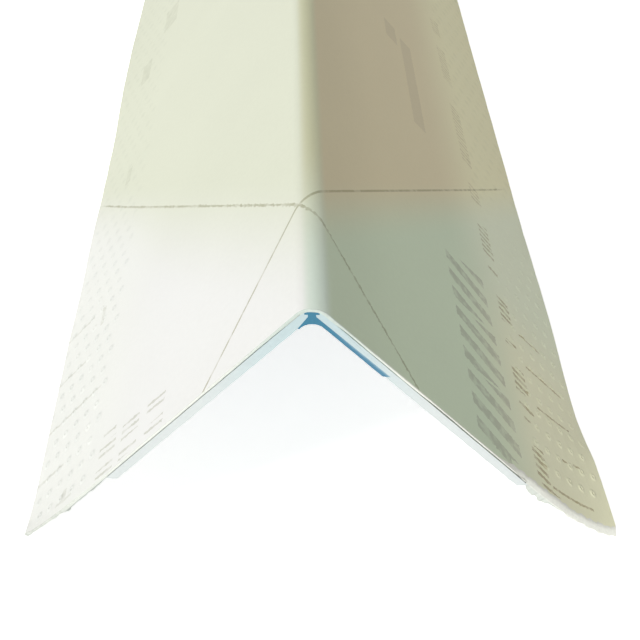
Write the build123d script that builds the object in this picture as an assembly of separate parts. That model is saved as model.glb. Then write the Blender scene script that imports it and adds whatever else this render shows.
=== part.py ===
from build123d import *
import math
import os

# Outside corner trim: a paper face bent over a rounded nose, two plastic core strips bonded under
# its legs, and a soft hinge strip that joins them at the nose. It stands ridge up on the edges of
# its paper flanges. X runs across it, Y along it and Z up. Sizes are in millimetres.

length = 2438.4
fold_angle = 82.0
front_cut_skew = 3.2

leg_width = 38.1
paper_thickness = 0.25
nose_radius = 1.4

core_width = 25.4
core_thickness = 0.7
core_edge_bevel = 0.5

hinge_cap_width = 1.0
hinge_cap_height = 0.28
hinge_neck_width = 0.55
hinge_neck_height = 0.2
hinge_foot_radius = 1.0
hinge_wing_thickness = 0.28
hinge_wing_reach = 8.9
hinge_wing_edge_bevel = 0.3
hinge_wedge_reach = 2.6
hinge_stand_out = 0.1

half_angle = math.radians(fold_angle / 2)
lean_across = math.sin(half_angle)
lean_down = math.cos(half_angle)
half_width = leg_width * lean_across

# The front end was cut a little out of square, and the right flange reaches furthest forward
skew = math.radians(front_cut_skew)
front_cut = Plane(origin=(half_width, -length / 2, 0), z_dir=(math.sin(skew), math.cos(skew), 0))

# Depths below the outside of a leg, square to it
core_depth = paper_thickness
inside_depth = paper_thickness + core_thickness
wing_depth = inside_depth - hinge_wing_thickness

# Heights from the sharp ridge line, where the outsides of the two legs would meet
paper_nose_radius = nose_radius - paper_thickness
paper_nose_centre = -nose_radius / lean_across
cap_top = paper_nose_centre + paper_nose_radius
neck_top = cap_top - hinge_cap_height
neck_bottom = neck_top - hinge_neck_height
base_height = -(leg_width * lean_down + paper_thickness * lean_across)

LEFT = -1
RIGHT = 1


def leg_point(side, reach, depth):
    """A point of a leg: reach along its outside from the sharp ridge line, and depth below it."""
    across = reach * lean_across - depth * lean_down
    drop = reach * lean_down + depth * lean_across
    return (side * across, -drop)


def bent_section(depth, thickness, width, edge_bevel, outer_radius, inner_radius):
    """The section of a strip bent over the ridge, with its inside edge_bevel shorter on each leg."""
    inner_depth = depth + thickness
    inner_width = width - edge_bevel
    with BuildSketch(Plane.XZ) as section:
        with BuildLine():
            outer_ridge = (0, -depth / lean_across)
            inner_ridge = (0, -inner_depth / lean_across)
            outer = FilletPolyline(
                leg_point(LEFT, width, depth), outer_ridge, leg_point(RIGHT, width, depth),
                radius=outer_radius,
            )
            inner = FilletPolyline(
                leg_point(LEFT, inner_width, inner_depth), inner_ridge,
                leg_point(RIGHT, inner_width, inner_depth),
                radius=inner_radius,
            )
            Line(outer @ 0, inner @ 0)
            Line(outer @ 1, inner @ 1)
        make_face()
    return section.sketch


def hinge_outline():
    """The hinge's sides, drawn past the paper above it and past the inside of the strips below it."""
    half_cap = hinge_cap_width / 2
    half_neck = hinge_neck_width / 2
    past_inside = inside_depth + core_thickness
    tip_run = hinge_wing_edge_bevel * core_thickness / hinge_wing_thickness
    with BuildSketch(Plane.XZ) as outline:
        with BuildLine():
            Polyline(
                (-half_cap, 0),
                (half_cap, 0),
                (half_cap, neck_top),
                (half_neck, neck_top),
                (half_neck, neck_bottom),
                leg_point(RIGHT, hinge_wing_reach, wing_depth),
                leg_point(RIGHT, hinge_wing_reach - hinge_wing_edge_bevel, inside_depth),
                leg_point(RIGHT, hinge_wing_reach - hinge_wing_edge_bevel - tip_run, past_inside),
                (0, -past_inside / lean_across - hinge_foot_radius),
                leg_point(LEFT, hinge_wedge_reach - tip_run, past_inside),
                leg_point(LEFT, hinge_wedge_reach, inside_depth),
                (-half_neck, neck_bottom),
                (-half_neck, neck_top),
                (-half_cap, neck_top),
                close=True,
            )
        make_face()
    return outline.sketch


def full_length(section):
    """The section drawn out along the trim and cut at the front, with the flange edges at height zero."""
    strip = split(extrude(section, amount=length / 2, both=True), bisect_by=front_cut, keep=Keep.TOP)
    return Pos(0, 0, -base_height) * strip


def make_pieces():
    """Each piece of the trim by name."""
    paper = bent_section(
        0, paper_thickness, leg_width, 0, nose_radius, paper_nose_radius,
    )
    core_blank = bent_section(
        core_depth, core_thickness, core_width, core_edge_bevel, paper_nose_radius, hinge_foot_radius,
    )
    hinge_blank = bent_section(
        core_depth, core_thickness + hinge_stand_out, core_width, core_edge_bevel,
        paper_nose_radius, hinge_foot_radius,
    )
    hinge = hinge_blank & hinge_outline()
    strips = (core_blank - hinge_outline()).faces().sort_by(Axis.X)
    return {
        "face_paper": full_length(paper),
        "left_core": full_length(strips[0]),
        "right_core": full_length(strips[-1]),
        "hinge": full_length(hinge),
    }


os.makedirs("parts", exist_ok=True)
for name, piece in make_pieces().items():
    export_step(piece, f"parts/{name}.step")
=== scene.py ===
import math

import bmesh
import bpy
import numpy as np
from mathutils import Euler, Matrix, Vector, geometry, noise


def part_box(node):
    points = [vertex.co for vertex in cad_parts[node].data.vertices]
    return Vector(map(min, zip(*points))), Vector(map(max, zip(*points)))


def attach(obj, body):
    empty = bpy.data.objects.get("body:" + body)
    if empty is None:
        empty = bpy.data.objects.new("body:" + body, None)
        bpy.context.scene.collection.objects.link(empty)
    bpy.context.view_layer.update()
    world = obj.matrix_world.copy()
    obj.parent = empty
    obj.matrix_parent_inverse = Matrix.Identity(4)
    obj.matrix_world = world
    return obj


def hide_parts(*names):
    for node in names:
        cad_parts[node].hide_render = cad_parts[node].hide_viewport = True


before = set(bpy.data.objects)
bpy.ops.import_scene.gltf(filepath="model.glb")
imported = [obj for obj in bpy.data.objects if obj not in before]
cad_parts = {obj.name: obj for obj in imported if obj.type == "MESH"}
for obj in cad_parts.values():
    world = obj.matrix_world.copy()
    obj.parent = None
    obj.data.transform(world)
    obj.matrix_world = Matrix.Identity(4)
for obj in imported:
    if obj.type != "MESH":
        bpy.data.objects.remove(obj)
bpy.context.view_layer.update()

MM = 0.001

# The trim's section, in millimetres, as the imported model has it
FOLD_ANGLE = 82.0
LEG_WIDTH = 38.1
PAPER = 0.25
NOSE_RADIUS = 1.4
CORE_WIDTH = 25.4
CORE_DEPTH = 0.95
CORE_BEVEL = 0.5
CAP_HALF = 0.5
CAP_HEIGHT = 0.28
NECK_HALF = 0.275
NECK_HEIGHT = 0.2
FOOT_RADIUS = 1.0
STAND_OUT = 0.1
WING_DEPTH = 0.67
WING_REACH = 8.9
WING_BEVEL = 0.3
WEDGE_REACH = 2.6
CUT_SKEW = math.tan(math.radians(3.2))

HALF = math.radians(FOLD_ANGLE / 2)
LEAN_ACROSS = math.sin(HALF)
LEAN_DOWN = math.cos(HALF)
NOSE_TURN = math.pi / 2 - HALF
NOSE_ARC = NOSE_RADIUS * NOSE_TURN
NOSE_CUT = NOSE_RADIUS / math.tan(HALF) - NOSE_ARC
FLAT_WIDTH = LEG_WIDTH - NOSE_CUT

low, high = (Vector(corner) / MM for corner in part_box("face_paper"))
RIDGE = LEG_WIDTH * LEAN_DOWN + PAPER * LEAN_ACROSS
NOSE_CENTRE = RIDGE - NOSE_RADIUS / LEAN_ACROSS
FRONT = low.y + high.x * CUT_SKEW
BACK = high.y
LENGTH = BACK - FRONT

UNDER_RADIUS = NOSE_RADIUS - PAPER
CAP_TURN = math.asin(CAP_HALF / UNDER_RADIUS)
NECK_TOP = NOSE_CENTRE + UNDER_RADIUS - CAP_HEIGHT
NECK_BOTTOM = NECK_TOP - NECK_HEIGHT

# Pin perforations in the flanges, pushed through from the inside, so that each has a raised rim
PIN_FIRST = 2.8
PIN_ROW_PITCH = 2.03
PIN_ROWS = int((LENGTH - PIN_FIRST) / PIN_ROW_PITCH)
PIN_PITCH = 1.75
PIN_COUNT = 6
PIN_REACH = 27.65
PIN_SHIFT = 0.9
PIN_RADIUS = 0.56
PIN_HOLE = 0.55
PIN_MIDDLE = 0.25
PIN_HEIGHT = 0.13
PIN_DEPTH = 0.05
NEAR_PINS = 90.0
NEAR_SIDES = 8
FAR_SIDES = 4

# How far the soft flanges stand up from straight past this reach, as (along, height) pairs
LIFT_START = 26.0
LEFT_LIFT = ((0, 1.6), (1.5, 0.9), (3, 0.4), (6, 0.05), (20, 0.2), (26, 0.3), (34, 0.05),
             (42, 0.5), (50, 0.1), (62, 0.1), (72, 1.1), (84, 1.3), (98, 0.8), (125, 0.1))
RIGHT_LIFT = ((0, 2.35), (2, 2.2), (4.5, 2.0), (7.2, 1.7), (10, 0.85), (13, 0.2), (16, 0.0),
              (20, 0.15), (26, 0.55), (32, 0.4), (42, 0.1), (60, 0.05), (80, 0.0), (120, 0.2))

# The paper's cut and worn edges
EDGE_WEAR = 0.15
FAR_WEAR = 0.28
GAP = 0.08
GAP_REACH = 2.5
TORN_REACH = 4.0

# The mesh of the flat sheet
EDGE_STEP = 0.25
NOSE_STEPS = 6
SLOPE_STEP = 0.03
MARGIN = 27.0
INSIDE_LINES = (28.5, 30.0, 31.5, 33.0, 34.5, 36.0)
FLAT_SCALE = 100.0

# The burr at a strip's front end, as (distance back, share of the burr) pairs
BURR_RINGS = ((0.0, 1.0), (0.12, 0.5), (0.4, 0.0))
SHARP_BEND = math.radians(28)

# Colours
BLACK = (0.0, 0.0, 0.0)
WHITE = (1.0, 1.0, 1.0)
# Painted light: the paper, its left flange and its nose are whiter and bluer near the cut end and
# creamier further back, as if the front were lit more
PAPER_NEAR = (0.89, 0.89, 0.865)
PAPER_FAR = (0.755, 0.78, 0.63)
# Painted shade: the right leg, turned away from the key light, is coloured darker than the left
# leg
RIGHT_NEAR = (0.665, 0.775, 0.57)
RIGHT_FAR = (0.755, 0.665, 0.43)
# Painted light: the right flange, single paper past the core, is lighter and yellower than the
# right leg over the core, standing in for light through the thin paper
FLANGE_NEAR = (0.96, 0.95, 0.68)
FLANGE_MIDDLE = (0.84, 0.89, 0.68)
FLANGE_FAR = (0.90, 0.86, 0.56)
LEFT_FLANGE = (0.89, 0.90, 0.85)
NOSE_NEAR = (0.78, 0.89, 0.80)
NOSE_FAR = (0.65, 0.67, 0.45)
GREY_INK = (0.69, 0.665, 0.665)
LEFT_INK = (0.70, 0.70, 0.64)
BROWN_INK = (0.52, 0.45, 0.33)
LINE_INK = (0.58, 0.56, 0.46)
# Painted shade in the perforations
PIN_SHADE = (0.84, 0.85, 0.85)
TORN_LEFT = (0.84, 0.86, 0.78)
# Painted shadow along the lower edge of the left cut
TORN_DARK = (0.42, 0.45, 0.41)
TORN_NOSE = (0.62, 0.70, 0.63)
# Painted shade low on the right's hanging flap
TORN_HANGING = (0.72, 0.75, 0.68)
TORN_RIGHT = (0.93, 0.93, 0.84)
INSIDE_DARK = (0.80, 0.80, 0.70)
INSIDE_PALE = (0.88, 0.88, 0.80)
CORE_NEAR = (0.55, 0.67, 0.68)
CORE_FAR = (0.72, 0.76, 0.74)
HINGE_BLUE = (0.020, 0.18, 0.29)
HINGE_WING = (0.055, 0.21, 0.33)
HINGE_PALE = (0.27, 0.46, 0.55)

# Ink on the flat paper. Each mark has its middle across, its half width, its middle along and
# its half length.
LEFT_LEGEND = ((-18.1, 1.25, 1.75, 0.5), (-18.1, 1.25, 4.0, 0.8), (-21.7, 1.25, 1.75, 0.5),
               (-21.7, 1.25, 4.0, 0.8), (-25.1, 1.25, 1.75, 0.5), (-25.1, 1.25, 4.0, 0.8),
               (-25.1, 1.0, 5.65, 0.4))
LEFT_TICKS = ((-31.5, 1.2, 2.3, 0.14), (-35.3, 2.3, 7.0, 0.17), (-33.0, 4.6, 13.0, 0.14),
              (-35.1, 2.6, 19.0, 0.13), (-35.1, 2.6, 25.0, 0.13), (-30.6, 0.3, 23.8, 1.2),
              (-31.6, 0.3, 2.8, 0.7))
LEFT_SPOTS = ((-31.0, 0.5, 47.5, 1.5), (-31.6, 1.0, 71.5, 2.5), (-27.1, 1.5, 81.0, 3.0))
RIGHT_HATCH = ((21.4, 3.0, 3.9, 3.6), (21.4, 3.0, 11.3, 3.5), (21.4, 3.0, 18.8, 3.5),
               (21.6, 1.0, -0.2, 0.6))
RIGHT_DASHES = ((28.4, 1.4, 0.2, 0.18), (27.6, 0.9, 2.5, 1.7), (27.1, 0.5, 7.0, 0.25),
                (27.4, 1.1, 8.3, 0.3), (27.4, 1.0, 11.5, 1.5), (27.3, 0.9, 16.0, 0.3),
                (27.6, 0.9, 20.6, 1.7), (27.2, 0.8, 26.0, 0.35), (27.1, 0.9, 30.5, 2.5),
                (27.1, 0.9, 38.5, 1.5), (27.1, 0.9, 50.0, 6.0), (27.1, 0.9, 66.0, 4.0),
                (27.1, 0.9, 76.0, 2.0))
RIGHT_TICKS = ((31.9, 3.0, 0.85, 0.13), (32.2, 0.4, 5.0, 0.12), (34.0, 0.5, 5.2, 0.12),
               (32.1, 2.6, 9.75, 0.11), (32.3, 3.0, 14.5, 0.12), (31.3, 1.8, 18.8, 0.11))
STREAKS = ((17.9, 1.0, 50.0, 9.0), (15.1, 1.0, 58.0, 2.0))
GUIDE_PLACE = (-0.78, 11.37)
GUIDE_HALF = 0.1551

# The photo's camera, in millimetres and degrees from the sharp ridge line at the front end
CAMERA_PLACE = (-0.29, -45.41, 42.36)
CAMERA_PITCH = 44.13
CAMERA_YAW = 1.013
CAMERA_ROLL = -0.813
CAMERA_FOCUS = 967.4
IMAGE_SIZE = 640
SENSOR = 36.0

# Light
KEY_DIRECTION = (-0.60, -0.42, 0.70)
KEY_STRENGTH = 0.57 * math.pi
KEY_SPREAD = 12
FILL_PLACE = (-30, -300, 75)
FILL_SIZE = 200
FILL_POWER = 0.31
FILL_COLOR = (0.93, 0.97, 1.0)
SKY_COLOR = (1.0, 0.99, 0.96)
SKY_STRENGTH = 0.34
FLOOR_HALF = 12.0
FLOOR_COLOR = (0.9, 0.9, 0.9)
FLOOR_GLOW = 0.69

WAVE_STEP = 0.1
WAVE_COUNT = 6000
WAVE_SPAN = WAVE_COUNT * WAVE_STEP
WAVE_START = -WAVE_SPAN / 2
WAVE_PLACES = np.arange(WAVE_COUNT + 1) * WAVE_STEP + WAVE_START
WAVES = {}


def smooth(value, start, end):
    """0 before start, 1 after end, and a soft step between them."""
    share = (value - start) / (end - start)
    share = min(max(share, 0.0), 1.0) if isinstance(share, float) else np.clip(share, 0.0, 1.0)
    return share * share * (3 - 2 * share)


def wave(place, seed):
    """Smooth noise between 0 and 1 along a line."""
    if seed not in WAVES:
        heights = [noise.noise(Vector((x, seed * 7.3, 1.7))) for x in WAVE_PLACES]
        WAVES[seed] = np.array([0.5 + 0.5 * height for height in heights])
    row = WAVES[seed]
    place = (place - WAVE_START) % WAVE_SPAN
    if isinstance(place, float):
        share, index = math.modf(place / WAVE_STEP)
        after = min(int(index) + 1, WAVE_COUNT)
        return float(row[int(index)] * (1 - share) + row[after] * share)
    return np.interp(place + WAVE_START, WAVE_PLACES, row)


def lift_at(flat, along):
    """How far the soft flanges curl up, most at their outer edges."""
    reach = np.abs(flat) + NOSE_CUT
    share = np.clip((reach - LIFT_START) / (LEG_WIDTH - LIFT_START), 0.0, 1.1)
    left = np.interp(along, *zip(*LEFT_LIFT)) * share ** 2.2
    right = np.interp(along, *zip(*RIGHT_LIFT)) * share ** 2.7
    far = 0.35 * wave(along * 0.024 - 40, 50) * share ** 2 * smooth(along, 100.0, 160.0)
    return np.where(flat < 0, left, right) + far


def bend(flat, along, depth):
    """Places of points of the paper in metres, where flat is the distance from the nose on the
    flat sheet."""
    flat, along, depth = (np.asarray(v, float) for v in (flat, along, depth))
    side = np.where(flat < 0, -1.0, 1.0)
    over = np.maximum(np.abs(flat) - NOSE_ARC, 0.0)
    turn = np.clip(flat / NOSE_RADIUS, -NOSE_TURN, NOSE_TURN)
    radius = NOSE_RADIUS - depth
    across = radius * np.sin(turn) + side * over * LEAN_ACROSS
    height = NOSE_CENTRE + radius * np.cos(turn) - over * LEAN_DOWN + lift_at(flat, along)
    return np.stack((across, FRONT + along, height), -1) * MM


def bend_normals(flat, along, depth, slope_flat, slope_along):
    """Outside normals of the bent paper, tipped by the slope of its depth."""
    step = 0.05
    rise, climb = slope_flat * step, slope_along * step
    aside = bend(flat + step, along, depth + rise) - bend(flat - step, along, depth - rise)
    behind = bend(flat, along + step, depth + climb) - bend(flat, along, depth)
    normals = np.cross(aside, behind)
    return normals / np.linalg.norm(normals, axis=1)[:, None]


def pin_depth(flat, along):
    """The depth of the paper's outside at the perforations: raised rims round small holes."""
    reach = np.abs(flat)
    row = np.clip(np.round((along - PIN_FIRST) / PIN_ROW_PITCH), 0, PIN_ROWS - 1)
    shifted = (row + 1) % 2
    start = PIN_REACH + PIN_SHIFT * shifted
    column = np.clip(np.round((reach - start) / PIN_PITCH), 0, PIN_COUNT - 1 - shifted)
    aside = reach - start - column * PIN_PITCH
    away = np.hypot(aside, along - PIN_FIRST - row * PIN_ROW_PITCH)
    rim = np.clip(1 - away / PIN_RADIUS, 0.0, 1.0)
    rim = rim * rim * (3 - 2 * rim)
    hole = np.clip(1 - away / (PIN_RADIUS * PIN_HOLE), 0.0, 1.0) * (along < NEAR_PINS)
    return -PIN_HEIGHT * rim + (PIN_HEIGHT + PIN_DEPTH) * hole * hole


def square_cut(flat):
    """How far along the cut plane lies."""
    across = math.copysign((abs(flat) + NOSE_CUT) * LEAN_ACROSS, flat)
    return -across * CUT_SKEW


def torn_back(flat):
    """How far the paper's front edge is worn or torn back from the cut plane."""
    reach = abs(flat) + NOSE_CUT
    rough = 0.03 * wave(flat * 1.9, 1) + 0.03 * wave(flat * 6.0, 2)
    if flat < 0:
        worn = 0.25 * smooth(reach, 36.0, 38.6)
        rough += 0.08 * smooth(reach, 25.0, 27.0) * wave(flat * 2.6, 3)
    else:
        worn = 0.12 * smooth(reach, 35.0, 38.6)
        worn += 0.2 * smooth(reach, 25.5, 29.0) * wave(flat * 1.1, 4)
        rough += 0.2 * smooth(reach, 23.0, 26.0) * wave(flat * 4.1, 5)
    return worn + rough


def torn_margin(flat):
    """The width of the whitish margin where the paper's face is torn off along the cut."""
    reach = abs(flat) + NOSE_CUT
    if flat < 0:
        return 0.07 + 0.06 * smooth(reach, 25.0, 30.0) * wave(flat * 2.1, 6)
    fray = smooth(reach, 20.5, 24.5)
    return 0.07 + fray * (0.25 + 0.5 * wave(flat * 1.3, 7) + 0.3 * wave(flat * 5.0, 8))


def front_edge(flat):
    return square_cut(flat) + torn_back(flat)


def edge_depth(flat, along):
    """The outside's depth in the torn margin."""
    share = min(max((along - front_edge(flat)) / torn_margin(flat), 0.0), 1.0)
    drop = 0.04 + 0.18 * smooth(flat, 22.5, 25.0)
    return drop * (1 - share) ** 1.5


def inside_depth(flat, along):
    """The inside's depth: the paper gapes a little from the core at the cut, and frays past it."""
    reach = abs(flat) + NOSE_CUT
    back = along - front_edge(flat)
    near_cut = max(1 - back / GAP_REACH, 0.0) ** 2
    over_core = smooth(reach, 2.0, 4.0) * (1 - smooth(reach, 24.8, 25.3))
    gap = GAP * (0.7 + 0.6 * wave(flat * 0.5, 9))
    swell = 0.2 * smooth(reach, 25.5, 26.5) * max(wave(flat * 1.2, 11) - 0.3, 0.0) * 1.6
    if flat > 0:
        gap += 0.06 * smooth(reach, 10.0, 14.0)
        hang = smooth(reach, 25.0, 25.8) * (1 - smooth(reach, 27.0, 31.0))
        swell += 0.5 * hang * (0.6 + 0.6 * wave(flat * 2.3, 10))
    else:
        swell += 0.24 * math.exp(-((reach - 31.3) / 0.4) ** 2)
    return PAPER - min(gap, 0.16) * over_core * near_cut + swell * max(1 - back / 1.3, 0.0)


def flange_edge(side, along):
    """Where a flange's long edge lies on the flat sheet. It is a little worn."""
    worn = 0.35 * wave(along * 0.09, 12 + side) + 0.4 * wave(along * 0.33, 18 + side)
    worn += 0.25 * wave(along * 0.9, 15 + side)
    wear = EDGE_WEAR + FAR_WEAR * smooth(along, 15.0, 45.0)
    return side * (FLAT_WIDTH - wear * worn)


def steps(start, end, fine_end, fine, coarse):
    """Places from start to end: fine steps up to fine_end, and coarse ones past it."""
    places = list(np.arange(start, fine_end, fine))
    places += list(np.arange(fine_end, end - coarse / 2, coarse))
    return places + [end]


class Sheet:
    """Points and edges on the flat paper, in millimetres, to be triangulated."""

    def __init__(self):
        self.points = []
        self.edges = []

    def chain(self, points):
        start = len(self.points)
        self.points.extend(Vector(p) for p in points)
        self.edges.extend((start + i, start + i + 1) for i in range(len(points) - 1))

    def loop(self, points):
        start = len(self.points)
        self.chain(points)
        self.edges.append((len(self.points) - 1, start))

    def pin(self, flat, along, sides, radii):
        """The rings of one perforation, and its middle."""
        turns = [math.tau * (i + 0.5) / sides for i in range(sides)]
        for radius in radii:
            self.loop([(flat + radius * math.cos(t), along + radius * math.sin(t))
                       for t in turns])
        self.points.append(Vector((flat, along)))

    def triangles(self):
        found = geometry.delaunay_2d_cdt(self.points, self.edges, [], 1, 1e-6)
        places, _, faces, origins, _, _ = found
        return np.array([p[:] for p in places]), faces, origins


def nose_lines():
    return [NOSE_ARC * k / NOSE_STEPS for k in range(-NOSE_STEPS, NOSE_STEPS + 1)]


def outline():
    """The paper's outline on the flat, from the left front corner round to the left back one."""
    left = flange_edge(-1, 0.0)
    right = flange_edge(1, 0.0)
    count = int((right - left) / EDGE_STEP)
    across = [left + (right - left) * i / count for i in range(count + 1)]
    across = sorted(across + nose_lines()[1:-1])
    front = [(flat, front_edge(flat)) for flat in across]

    def long_edge(side, start):
        return [(flange_edge(side, y), y) for y in steps(start, LENGTH, 180.0, 1.2, 20.0)]

    right_side = long_edge(1, front[-1][1] + 1.0)
    left_side = long_edge(-1, front[0][1] + 1.0)
    back = [(flat, LENGTH) for flat in reversed(nose_lines())]
    return front, front + right_side + back + left_side[::-1]


def add_lines(sheet, front):
    """Lines that the mesh follows: along the nose, and across behind the cut."""
    for flat in nose_lines():
        sheet.chain([(flat, front_edge(flat)), (flat, LENGTH)])
    for side in (-1, 1):
        for reach, spacing in ((MARGIN, 12.0), (NOSE_ARC * 1.5, 60.0), (14.0, 60.0)):
            flat = side * reach
            places = steps(front_edge(flat) + 3.2, LENGTH, 200.0, spacing / 4, spacing)
            sheet.chain([(flat, y) for y in places])
    inner = [flat for flat, _ in front[1:-1]]
    for share in (1.0, 0.45):
        sheet.chain([(flat, front_edge(flat) + torn_margin(flat) * share) for flat in inner])
    for back, every in ((1.0, 2), (1.7, 4), (GAP_REACH, 8)):
        sheet.chain([(flat, front_edge(flat) + back) for flat in inner[::every]])


def add_pins(sheet):
    """The perforations, finer where they show near the front."""
    for row in range(PIN_ROWS):
        along = PIN_FIRST + row * PIN_ROW_PITCH
        shifted = (row + 1) % 2
        if along < NEAR_PINS:
            rings = NEAR_SIDES, (PIN_RADIUS, PIN_RADIUS * PIN_HOLE, PIN_RADIUS * PIN_MIDDLE)
        else:
            rings = FAR_SIDES, (PIN_RADIUS,)
        for side in (-1, 1):
            for k in range(PIN_COUNT - shifted):
                flat = side * (PIN_REACH + PIN_SHIFT * shifted + k * PIN_PITCH)
                sheet.pin(flat, along, *rings)


def pin_slopes(flat, along):
    """The slopes of the pits for shading: stronger on the right, and fading with distance."""
    step = SLOPE_STEP
    raised = np.where(flat > 0, 1.7, 1.0) * (1 - 0.6 * smooth(along, 10.0, 45.0))
    across = pin_depth(flat + step, along) - pin_depth(flat - step, along)
    back = pin_depth(flat, along + step) - pin_depth(flat, along - step)
    return raised * across / (2 * step), raised * back / (2 * step)


def skin_side(sheet, depth_at, pins):
    """One side of the paper: its flat places, bent places, normals, triangles, and the new
    index of each point of the sheet."""
    places, faces, origins = sheet.triangles()
    flat, along = places[:, 0].copy(), places[:, 1].copy()

    def depth(u, y):
        return np.array([depth_at(float(a), float(min(b, TORN_REACH))) for a, b in zip(u, y)])

    near = along < TORN_REACH
    base = np.full(len(flat), 0.0 if pins else PAPER)
    slope_flat, slope_along = np.zeros(len(flat)), np.zeros(len(flat))
    base[near] = depth(flat[near], along[near])
    slope_along[near] = (depth(flat[near], along[near] + SLOPE_STEP) - base[near]) / SLOPE_STEP
    if pins:
        slope_along *= 1 + 1.8 * smooth(flat, 21.0, 24.0)
        pin_flat, pin_along = pin_slopes(flat, along)
        base += pin_depth(flat, along)
        slope_flat += pin_flat
        slope_along += pin_along
    normals = bend_normals(flat, along, base, slope_flat, slope_along)
    index = {source: i for i, origin in enumerate(origins) for source in origin}
    return places, bend(flat, along, base), normals, faces, index


def paper_sheets():
    """The flat sheets of the paper's outside and inside, and the length of their border."""
    front, border = outline()
    outside, inside = Sheet(), Sheet()
    for sheet in (outside, inside):
        sheet.loop(border)
        add_lines(sheet, front)
    add_pins(outside)
    for reach in INSIDE_LINES:
        for flat in (-reach, reach):
            places = steps(front_edge(flat) + 1.5, LENGTH, 130.0, 1.5, 10.0)
            inside.chain([(flat, y) for y in places])
    return outside, inside, len(border)


def link(name, data):
    """A new object of the scene with this data."""
    thing = bpy.data.objects.new(name, data)
    bpy.context.scene.collection.objects.link(thing)
    return thing


def make_paper(materials):
    """The bent paper: its outside, its inside and the rim between them, in that order."""
    outside, inside, border = paper_sheets()
    places, outer, outer_normals, outer_faces, outer_edge = skin_side(outside, edge_depth, True)
    inner_side = skin_side(inside, inside_depth, False)
    inner_places, inner, inner_normals, inner_faces, inner_edge = inner_side
    count = len(outer)
    polygons = [list(face) for face in outer_faces]
    polygons += [[count + i for i in reversed(face)] for face in inner_faces]
    rim_start = len(polygons)
    for i in range(border):
        j = (i + 1) % border
        polygons.append([outer_edge[j], outer_edge[i],
                         count + inner_edge[i], count + inner_edge[j]])
    vertices = np.concatenate((outer, inner))
    mesh = bpy.data.meshes.new("paper_skin")
    mesh.from_pydata(vertices.tolist(), [], polygons)
    mesh.polygons.foreach_set("use_smooth", np.ones(len(polygons), bool))

    loops = np.array([v for p in polygons for v in p])
    flat_places = np.concatenate((places, inner_places))
    flat_map = mesh.uv_layers.new(name="Flat")
    flat_map.data.foreach_set("uv", (flat_places[loops] / FLAT_SCALE).ravel())

    kinds = np.zeros(len(polygons), int)
    for index, face in enumerate(outer_faces):
        flat, along = places[face].mean(axis=0)
        if along < TORN_REACH and along < front_edge(flat) + torn_margin(flat):
            kinds[index] = 1
    kinds[len(outer_faces):rim_start] = 2
    kinds[rim_start:] = 1
    for material in materials:
        mesh.materials.append(material)
    mesh.polygons.foreach_set("material_index", kinds)

    normals = np.concatenate((outer_normals, -inner_normals))[loops]
    rim = vertices[np.array(polygons[rim_start:])]
    facing = np.cross(rim[:, 1] - rim[:, 0], rim[:, 3] - rim[:, 0])
    facing /= np.maximum(np.linalg.norm(facing, axis=1), 1e-12)[:, None]
    normals[-4 * len(rim):] = np.repeat(facing, 4, axis=0)
    mesh.normals_split_custom_set(normals.tolist())
    return link("paper_skin", mesh)


def leg_point(side, reach, depth):
    """A point of the section: reach along a leg from the sharp ridge line, and depth below its
    outside."""
    across = reach * LEAN_ACROSS - depth * LEAN_DOWN
    drop = reach * LEAN_DOWN + depth * LEAN_ACROSS
    return (side * across, RIDGE - drop)


def arc(radius, centre, start, end, count):
    """Points of the section round the nose, by the angle from straight up."""
    turns = [start + (end - start) * i / count for i in range(count + 1)]
    return [(radius * math.sin(t), centre + radius * math.cos(t)) for t in turns]


def straight(start, end, count):
    """Points of the section along a straight line."""
    return [tuple(a + (b - a) * i / count for a, b in zip(start, end))
            for i in range(count + 1)]


def core_outline(side):
    """The section of a core strip, from the hinge's cap round to its neck."""
    points = arc(UNDER_RADIUS, NOSE_CENTRE, side * CAP_TURN, side * NOSE_TURN, 6)
    points += straight(points[-1], leg_point(side, CORE_WIDTH, PAPER), 80)[1:]
    end = leg_point(side, CORE_WIDTH - CORE_BEVEL, CORE_DEPTH)
    if side < 0:
        points += straight(end, leg_point(side, WEDGE_REACH, CORE_DEPTH), 90)
    else:
        points += straight(end, leg_point(side, WING_REACH - WING_BEVEL, CORE_DEPTH), 60)
        points.append(leg_point(side, WING_REACH, WING_DEPTH))
    points += [(side * NECK_HALF, NECK_BOTTOM), (side * NECK_HALF, NECK_TOP),
               (side * CAP_HALF, NECK_TOP)]
    return points


def hinge_outline():
    """The section of the hinge strip: cap, neck, wing, foot and wedge."""
    depth = CORE_DEPTH + STAND_OUT
    tip_run = WING_BEVEL * STAND_OUT / (CORE_DEPTH - WING_DEPTH)
    foot_centre = RIDGE - depth / LEAN_ACROSS - FOOT_RADIUS / LEAN_ACROSS
    points = arc(UNDER_RADIUS, NOSE_CENTRE, -CAP_TURN, CAP_TURN, 10)
    points += [(CAP_HALF, NECK_TOP), (NECK_HALF, NECK_TOP), (NECK_HALF, NECK_BOTTOM),
               leg_point(1, WING_REACH, WING_DEPTH),
               leg_point(1, WING_REACH - WING_BEVEL, CORE_DEPTH)]
    foot = arc(FOOT_RADIUS, foot_centre, NOSE_TURN, -NOSE_TURN, 16)
    points += straight(leg_point(1, WING_REACH - WING_BEVEL - tip_run, depth), foot[0], 20)
    points += foot[1:]
    points += [leg_point(-1, WEDGE_REACH - tip_run, depth),
               leg_point(-1, WEDGE_REACH, CORE_DEPTH),
               (-NECK_HALF, NECK_BOTTOM), (-NECK_HALF, NECK_TOP), (-CAP_HALF, NECK_TOP)]
    return points


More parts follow.
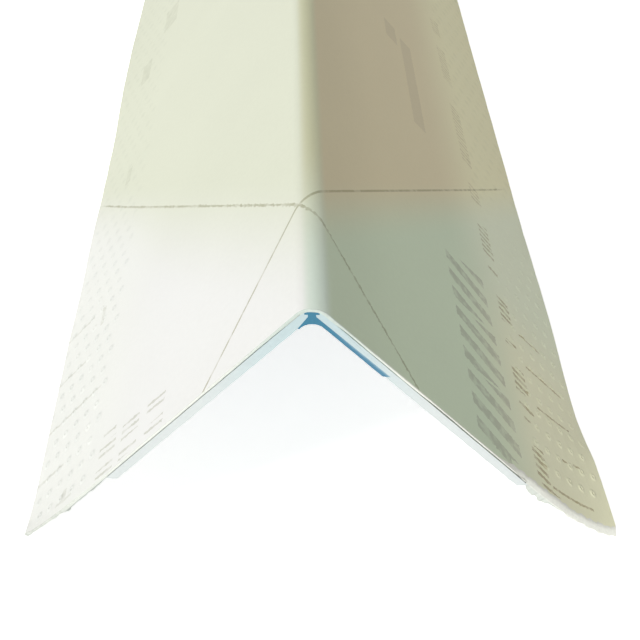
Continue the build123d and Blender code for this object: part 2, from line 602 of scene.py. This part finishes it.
def strip_piece(name, section, burr, seed, material):
    """A strip of one section along the trim, with a slightly burred cut at the front."""
    count = len(section)
    vertices = []
    for back, share in BURR_RINGS:
        for i, (x, z) in enumerate(section):
            below = RIDGE - z - abs(x) / math.tan(HALF) > 2 * PAPER / LEAN_ACROSS
            push = 0.0
            if below:
                push = burr * share * max(wave(i * 0.37, seed) - 0.45, 0.0) * 2
            aside = -push if x < 0 else push
            rough = (0.03 + 0.05 * wave(i * 0.83, seed + 1)) * share * share
            y = FRONT - x * CUT_SKEW + back + rough
            place = (x - aside * LEAN_DOWN, y, z - push * LEAN_ACROSS)
            vertices.append([value * MM for value in place])
    vertices += [(x * MM, BACK * MM, z * MM) for x, z in section]
    polygons = []
    for ring in range(len(BURR_RINGS)):
        for i in range(count):
            a, b = ring * count + i, ring * count + (i + 1) % count
            polygons.append([a, b, b + count, a + count])
    caps = geometry.tessellate_polygon([[Vector((x, z, 0)) for x, z in section]])
    last = len(BURR_RINGS) * count
    polygons += [list(cap) for cap in caps]
    polygons += [[last + i for i in reversed(cap)] for cap in caps]
    mesh = bpy.data.meshes.new(name)
    mesh.from_pydata(vertices, [], polygons)
    mesh.materials.append(material)
    smooth_bends(mesh)
    return link(name, mesh)


def smooth_bends(mesh):
    """Turns every face outwards and smooths the shallow bends only."""
    shape = bmesh.new()
    shape.from_mesh(mesh)
    bmesh.ops.recalc_face_normals(shape, faces=shape.faces)
    for face in shape.faces:
        face.smooth = True
    for edge in shape.edges:
        if len(edge.link_faces) == 2 and edge.calc_face_angle(0.0) > SHARP_BEND:
            edge.smooth = False
    shape.to_mesh(mesh)
    shape.free()


class Graph:
    """A material under construction, with short names for its nodes."""

    def __init__(self, name, roughness):
        self.material = bpy.data.materials.new(name)
        self.material.use_nodes = True
        self.nodes = self.material.node_tree.nodes
        self.links = self.material.node_tree.links
        self.shader = self.nodes["Principled BSDF"]
        self.shader.inputs["Roughness"].default_value = roughness

    def put(self, socket, value):
        if isinstance(value, bpy.types.NodeSocket):
            self.links.new(value, socket)
        else:
            socket.default_value = value

    def color(self, value):
        self.put(self.shader.inputs["Base Color"], value)

    def math(self, operation, *values):
        node = self.nodes.new("ShaderNodeMath")
        node.operation = operation
        for socket, value in zip(node.inputs, values):
            self.put(socket, value)
        return node.outputs[0]

    def chain(self, operation, first, others):
        for other in others:
            first = self.math(operation, first, other)
        return first

    def times(self, first, *others):
        return self.chain("MULTIPLY", first, others)

    def most(self, first, *others):
        return self.chain("MAXIMUM", first, others)

    def plus(self, first, second):
        return self.math("ADD", first, second)

    def minus(self, first, second):
        return self.math("SUBTRACT", first, second)

    def rest(self, share):
        """What a share leaves of 1."""
        return self.math("SUBTRACT", 1.0, share)

    def size(self, value):
        return self.math("ABSOLUTE", value)

    def near(self, value, middle, half):
        """1 within half of the middle, and 0 elsewhere."""
        return self.math("COMPARE", value, middle, half)

    def ramp(self, value, start, end):
        """0 before start, 1 after end, and a soft step between them."""
        node = self.nodes.new("ShaderNodeMapRange")
        node.interpolation_type = "SMOOTHSTEP"
        for socket, put in zip(node.inputs, (value, start, end, 0.0, 1.0)):
            self.put(socket, put)
        return node.outputs[0]

    def mix(self, share, first, second, blend="MIX"):
        node = self.nodes.new("ShaderNodeMix")
        node.data_type = "RGBA"
        node.blend_type = blend
        self.put(node.inputs["Factor"], share)
        for socket, value in ((node.inputs[6], first), (node.inputs[7], second)):
            linked = isinstance(value, bpy.types.NodeSocket)
            self.put(socket, value if linked else (*value, 1.0))
        return node.outputs[2]

    def shaded(self, color, shade):
        """A colour times a grey shade."""
        grey = self.nodes.new("ShaderNodeCombineXYZ")
        for socket in grey.inputs:
            self.put(socket, shade)
        return self.mix(1.0, color, grey.outputs[0], "MULTIPLY")

    def noise(self, vector, scale, detail=3.0):
        node = self.nodes.new("ShaderNodeTexNoise")
        self.put(node.inputs["Vector"], vector)
        node.inputs["Scale"].default_value = scale
        node.inputs["Detail"].default_value = detail
        return node.outputs["Fac"]

    def split(self, vector):
        node = self.nodes.new("ShaderNodeSeparateXYZ")
        self.put(node.inputs[0], vector)
        return node.outputs

    def stretch(self, vector, factors):
        node = self.nodes.new("ShaderNodeVectorMath")
        node.operation = "MULTIPLY"
        self.put(node.inputs[0], vector)
        node.inputs[1].default_value = factors
        return node.outputs[0]

    def flat_place(self):
        """The place on the flat paper, in millimetres: as a vector, across and along."""
        chart = self.nodes.new("ShaderNodeUVMap")
        chart.uv_map = "Flat"
        place = self.stretch(chart.outputs[0], (FLAT_SCALE,) * 3)
        across, along, _ = self.split(place)
        return place, across, along

    def solid_place(self):
        """The place in the trim's own frame, in millimetres: as a vector, across and up."""
        solid = self.nodes.new("ShaderNodeTexCoord")
        place = self.stretch(solid.outputs["Object"], (1 / MM,) * 3)
        across, _, height = self.split(place)
        return place, across, height

    def bump(self, height, strength, distance):
        node = self.nodes.new("ShaderNodeBump")
        node.inputs["Strength"].default_value = strength
        node.inputs["Distance"].default_value = distance * MM
        self.put(node.inputs["Height"], height)
        self.put(self.shader.inputs["Normal"], node.outputs[0])


def bars(graph, across, along, places):
    """A mask of upright boxes, each given by its middle and its half sizes."""
    boxes = [graph.times(graph.near(across, middle, half), graph.near(along, centre, half_length))
             for middle, half, centre, half_length in places]
    return graph.most(*boxes)


def stripes(graph, value, pitch, share):
    """A mask of even stripes."""
    place = graph.math("FRACT", graph.math("DIVIDE", value, pitch))
    return graph.math("LESS_THAN", place, share)


def pin_spots(graph, across, along):
    """A soft mask over the perforations, for the painted shade in them."""
    row = graph.math("DIVIDE", graph.minus(along, PIN_FIRST), PIN_ROW_PITCH)
    nearest = graph.math("ROUND", row)
    up = graph.times(graph.minus(row, nearest), PIN_ROW_PITCH)
    shifted = graph.rest(graph.math("MODULO", nearest, 2.0))
    reach = graph.minus(graph.size(across), graph.times(shifted, PIN_SHIFT))
    column = graph.math("DIVIDE", graph.minus(reach, PIN_REACH), PIN_PITCH)
    aside = graph.times(graph.minus(column, graph.math("ROUND", column)), PIN_PITCH)
    away = graph.math("SQRT", graph.plus(graph.times(up, up), graph.times(aside, aside)))
    spot = graph.rest(graph.ramp(away, PIN_RADIUS * 0.3, PIN_RADIUS * 1.3))
    inside = graph.times(graph.near(column, 2.5, 2.9), graph.math("GREATER_THAN", row, -0.5))
    return graph.times(spot, inside)


def guide_lines(graph, across, along):
    """Two fine lines at 45 degrees to the nose, which cross on it."""
    right = graph.minus(across, GUIDE_PLACE[0])
    back = graph.minus(along, GUIDE_PLACE[1])
    rising = graph.near(graph.minus(back, right), 0.0, GUIDE_HALF)
    falling = graph.near(graph.plus(back, right), 0.0, GUIDE_HALF)
    short = graph.rest(graph.ramp(graph.size(right), 33.5, 36.5))
    return graph.times(graph.most(rising, falling), short)


def paper_and_painted_light(graph, place, across, along, grain):
    """The paper's colour with painted light and shade: it drifts with distance, lighter and bluer
    near the cut end, and differs from leg to leg, darker on the right leg and lighter on the right
    flange, with painted shade in the perforations.
    """
    reach = graph.size(across)
    behind = graph.minus(along, reach)
    far = graph.ramp(behind, -2.0, 15.0)
    right_far = graph.ramp(behind, 5.0, 14.0)
    on_right = graph.math("GREATER_THAN", across, 0.0)
    on_left = graph.rest(on_right)
    right_leg = graph.ramp(across, -0.7, 0.6)
    flange = graph.ramp(reach, 19.0, 30.0)

    # Painted light: whiter and bluer near the cut end, creamier further back
    color = graph.mix(far, PAPER_NEAR, PAPER_FAR)
    # Painted shade: the right leg darker than the left
    color = graph.mix(right_leg, color, graph.mix(right_far, RIGHT_NEAR, RIGHT_FAR))
    # Painted light: the right flange lighter than the right leg over the core
    flange_color = graph.mix(graph.ramp(along, 12.0, 26.0), FLANGE_NEAR, FLANGE_MIDDLE)
    flange_color = graph.mix(right_far, flange_color, FLANGE_FAR)
    color = graph.mix(graph.times(flange, on_right), color, flange_color)
    # Painted shade: the right leg darker still beside the nose
    beside_nose = graph.times(right_leg, graph.rest(graph.ramp(across, 2.0, 11.0)), 0.09)
    color = graph.mix(beside_nose, color, BLACK)
    # Painted light: the left flange whiter near the cut end
    color = graph.mix(graph.times(flange, on_left, graph.rest(far)), color, LEFT_FLANGE)
    # Greenish over the nose where the blue hinge shows through the thin paper, and darker further
    # back as part of the painted light along the length
    nose = graph.rest(graph.ramp(graph.size(graph.minus(across, 0.5)), 0.3, 1.3))
    nose_color = graph.mix(graph.ramp(along, 1.0, 20.0), NOSE_NEAR, NOSE_FAR)
    color = graph.mix(graph.times(nose, 0.8), color, nose_color)

    cloud = graph.noise(place, 0.06, 2.0)
    shade = graph.times(graph.plus(0.975, graph.times(cloud, 0.07)),
                        graph.plus(0.975, graph.times(grain, 0.05)))
    color = graph.shaded(color, shade)

    # Painted shade in the perforations: darker spots on the left flange, weaker further back, and
    # faint ones on the right flange away from the cut end
    left_depth = graph.minus(0.6, graph.times(graph.ramp(along, 18.0, 50.0), 0.35))
    depth = graph.plus(graph.times(left_depth, on_left), graph.times(right_far, on_right, 0.35))
    patches = graph.ramp(graph.noise(place, 0.4, 2.0), 0.3, 0.6)
    pits = graph.times(pin_spots(graph, across, along), patches, depth)
    return graph.mix(pits, color, PIN_SHADE, "MULTIPLY")


def printed(graph, color, place, across, along):
    """The paper's colour with generic marks in uneven ink over it."""
    uneven = graph.minus(graph.noise(place, 3.0, 2.0), 0.5)
    ink_across = graph.plus(across, graph.times(uneven, 0.35))
    ink_along = graph.plus(along, graph.times(uneven, 0.3))
    worn = graph.ramp(graph.noise(place, 1.1, 3.0), 0.36, 0.56)
    blots = graph.plus(0.45, graph.times(worn, 0.55))

    def marks(places):
        return bars(graph, ink_across, ink_along, places)

    def slanted(places, slope, pitch, share):
        """Marks filled with slanted stripes."""
        lean = graph.plus(ink_along, graph.times(ink_across, slope))
        return graph.times(marks(places), stripes(graph, lean, pitch, share))

    hatch = slanted(RIGHT_HATCH, 0.35, 2.46, 0.5)
    legend = slanted(LEFT_LEGEND, 0.08, 0.7, 0.38)
    dashes = slanted(RIGHT_DASHES, 0.2, 0.8, 0.5)
    fading = graph.rest(graph.times(graph.ramp(along, 16.0, 45.0), 0.6))
    brown = graph.most(graph.times(dashes, fading), marks(RIGHT_TICKS))
    left = graph.most(legend, graph.times(marks(LEFT_TICKS), 0.6),
                      graph.times(marks(LEFT_SPOTS), 0.35))
    guides = guide_lines(graph, ink_across, ink_along)
    color = graph.mix(graph.times(marks(STREAKS), 0.35), color, GREY_INK, "MULTIPLY")
    for mask, weight, ink in ((hatch, 0.95, GREY_INK), (left, 0.9, LEFT_INK),
                              (brown, 0.9, BROWN_INK), (guides, 0.9, LINE_INK)):
        color = graph.mix(graph.times(mask, blots, weight), color, ink, "MULTIPLY")
    return color


def paper_material():
    """Cream paper with a fine grain, and generic marks printed on it."""
    graph = Graph("paper_face", 0.62)
    place, across, along = graph.flat_place()
    grain = graph.noise(place, 2.2, 4.0)
    fibre = graph.noise(graph.stretch(place, (0.9, 0.25, 1.0)), 3.0, 3.0)
    color = paper_and_painted_light(graph, place, across, along, grain)
    graph.color(printed(graph, color, place, across, along))
    graph.bump(graph.plus(graph.times(grain, 0.6), graph.times(fibre, 0.6)), 0.35, 0.05)
    return graph.material


def leg_depth(graph, side):
    """How deep a place lies below the outside of one straight leg, in millimetres."""
    _, across, height = graph.solid_place()
    drop = graph.times(graph.minus(RIDGE, height), LEAN_ACROSS)
    return graph.minus(drop, graph.times(across, side * LEAN_DOWN))


def torn_material():
    """The bare fibre where the paper is cut or torn: whiter on the right and duller on the left,
    with painted shadow along the lower edge of the left cut and painted shade low on the right's
    hanging flap.
    """
    graph = Graph("paper_torn", 0.9)
    place, across, _ = graph.flat_place()
    grain = graph.noise(place, 5.0, 4.0)
    color = graph.mix(graph.ramp(across, -1.0, 1.0), TORN_LEFT, TORN_RIGHT)
    near_nose = graph.rest(graph.ramp(graph.size(across), 1.5, 11.0))
    color = graph.mix(graph.times(near_nose, 0.9), color, TORN_NOSE)
    # Painted shadow: a dark line along the lower edge of the left cut face, patchy where the left
    # flange's edge curls up
    deep = graph.plus(leg_depth(graph, -1), graph.times(graph.minus(grain, 0.5), 0.1))
    lifted = graph.times(graph.ramp(across, -30.0, -32.0), graph.ramp(grain, 0.4, 0.6), 0.5)
    on_left = graph.math("LESS_THAN", across, -1.0)
    under = graph.times(graph.most(graph.ramp(deep, 0.15, 0.24), lifted), on_left, 0.85)
    color = graph.mix(under, color, TORN_DARK)
    # Painted shade: darker low on the cut face of the right's hanging flap
    deep_right = graph.ramp(leg_depth(graph, 1), 0.18, 0.32)
    hanging = graph.times(deep_right, graph.ramp(across, 24.0, 25.0))
    color = graph.mix(hanging, color, TORN_HANGING)
    graph.color(graph.shaded(color, graph.plus(0.88, graph.times(grain, 0.22))))
    graph.bump(grain, 0.6, 0.08)
    return graph.material


def inside_material():
    """The unprinted inside of the paper."""
    graph = Graph("paper_inside", 0.8)
    place, _, _ = graph.flat_place()
    grain = graph.noise(place, 1.5, 4.0)
    graph.color(graph.mix(grain, INSIDE_DARK, INSIDE_PALE))
    graph.bump(grain, 0.3, 0.06)
    return graph.material


def core_material():
    """Pale plastic, a little bluer beside the hinge, with faint drawing lines."""
    graph = Graph("core_plastic", 0.45)
    place, across, _ = graph.solid_place()
    color = graph.mix(graph.ramp(graph.size(across), 0.8, 9.0), CORE_NEAR, CORE_FAR)
    streaks = graph.noise(graph.stretch(place, (1.0, 0.004, 1.0)), 2.5, 2.0)
    specks = graph.noise(place, 4.0, 3.0)
    shade = graph.plus(graph.plus(0.92, graph.times(streaks, 0.09)), graph.times(specks, 0.06))
    graph.color(graph.shaded(color, shade))
    graph.bump(graph.plus(streaks, graph.times(specks, 0.3)), 0.3, 0.06)
    return graph.material


def hinge_material():
    """Soft blue plastic, paler out along the thin wing."""
    graph = Graph("hinge_plastic", 0.38)
    place, across, _ = graph.solid_place()
    wing = graph.ramp(across, 0.9, 3.0)
    color = graph.mix(wing, HINGE_BLUE, HINGE_WING)
    streaks = graph.noise(graph.stretch(place, (1.0, 0.004, 1.0)), 3.0, 2.0)
    deep = graph.plus(leg_depth(graph, 1), graph.times(graph.minus(streaks, 0.5), 0.1))
    upper = graph.rest(graph.ramp(deep, 0.66, 0.88))
    graph.color(graph.mix(graph.times(upper, wing, 0.9), color, HINGE_PALE))
    graph.bump(streaks, 0.25, 0.05)
    return graph.material


def from_nose(place):
    """A place in metres, from one in millimetres from the sharp ridge line at the front end."""
    x, y, z = place
    return Vector((x, FRONT + y, RIDGE + z)) * MM


def add_camera():
    data = bpy.data.cameras.new("photo_camera")
    data.sensor_width = SENSOR
    data.lens = CAMERA_FOCUS / IMAGE_SIZE * SENSOR
    data.clip_start = 0.001
    data.clip_end = 20
    camera = link("photo_camera", data)
    camera.location = from_nose(CAMERA_PLACE)
    aim = (math.radians(90 - CAMERA_PITCH), 0, math.radians(-CAMERA_YAW))
    turn = Euler(aim, "XYZ").to_matrix()
    roll = Euler((0, 0, math.radians(CAMERA_ROLL)), "XYZ").to_matrix()
    camera.rotation_euler = (turn @ roll).to_euler()
    bpy.context.scene.camera = camera


def add_lamp(name, kind, direction, strength, color):
    """A lamp that shines from a direction towards the nose's front end."""
    data = bpy.data.lights.new(name, kind)
    data.energy = strength
    data.color = color
    lamp = link(name, data)
    lamp.rotation_euler = Vector(direction).to_track_quat("Z", "Y").to_euler()
    return lamp


def add_lights():
    key = add_lamp("key", "SUN", KEY_DIRECTION, KEY_STRENGTH, WHITE)
    key.data.angle = math.radians(KEY_SPREAD)
    fill = add_lamp("front_fill", "AREA", FILL_PLACE, FILL_POWER, FILL_COLOR)
    fill.data.size = FILL_SIZE * MM
    fill.location = from_nose(FILL_PLACE)
    fill.visible_camera = False


def seen_rays(nodes, links):
    """1 for the rays that show the background: straight from the camera, mirrored, or through
    glass."""
    path = nodes.new("ShaderNodeLightPath")
    share = path.outputs["Is Camera Ray"]
    for name in ("Is Glossy Ray", "Is Transmission Ray"):
        both = nodes.new("ShaderNodeMath")
        both.operation = "MAXIMUM"
        links.new(share, both.inputs[0])
        links.new(path.outputs[name], both.inputs[1])
        share = both.outputs[0]
    return share


def add_floor():
    mesh = bpy.data.meshes.new("floor")
    half = FLOOR_HALF
    corners = [(-half, -half, 0), (half, -half, 0), (half, half, 0), (-half, half, 0)]
    mesh.from_pydata(corners, [], [(0, 1, 2, 3)])
    graph = Graph("floor_white", 0.9)
    graph.color((*FLOOR_COLOR, 1))
    inputs = graph.shader.inputs
    inputs["Emission Color"].default_value = (*WHITE, 1)
    seen = seen_rays(graph.nodes, graph.links)
    graph.put(inputs["Emission Strength"], graph.times(seen, FLOOR_GLOW))
    mesh.materials.append(graph.material)
    floor = link("floor", mesh)


def add_world():
    world = bpy.data.worlds.new("studio")
    bpy.context.scene.world = world
    world.use_nodes = True
    nodes = world.node_tree.nodes
    links = world.node_tree.links
    light = nodes["Background"]
    light.inputs["Color"].default_value = (*SKY_COLOR, 1)
    light.inputs["Strength"].default_value = SKY_STRENGTH
    seen = nodes.new("ShaderNodeBackground")
    seen.inputs["Color"].default_value = (*WHITE, 1)
    seen.inputs["Strength"].default_value = 1.0
    mix = nodes.new("ShaderNodeMixShader")
    links.new(seen_rays(nodes, links), mix.inputs[0])
    links.new(light.outputs[0], mix.inputs[1])
    links.new(seen.outputs[0], mix.inputs[2])
    links.new(mix.outputs[0], nodes["World Output"].inputs["Surface"])


def main():
    bpy.context.scene.view_settings.view_transform = "Standard"
    paper = make_paper([paper_material(), torn_material(), inside_material()])
    core, blue = core_material(), hinge_material()
    left = strip_piece("left_core_strip", core_outline(-1), 0.07, 20, core)
    right = strip_piece("right_core_strip", core_outline(1), 0.07, 30, core)
    hinge = strip_piece("hinge_strip", hinge_outline(), 0.0, 40, blue)
    for piece, node, slot in ((paper, "face_paper", "paper"), (left, "left_core", "core"),
                              (right, "right_core", "core"), (hinge, "hinge", "hinge")):
        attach(piece, "root")
        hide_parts(node)
    add_camera()
    add_floor()
    add_world()
    add_lights()


main()
bpy.context.view_layer.update()
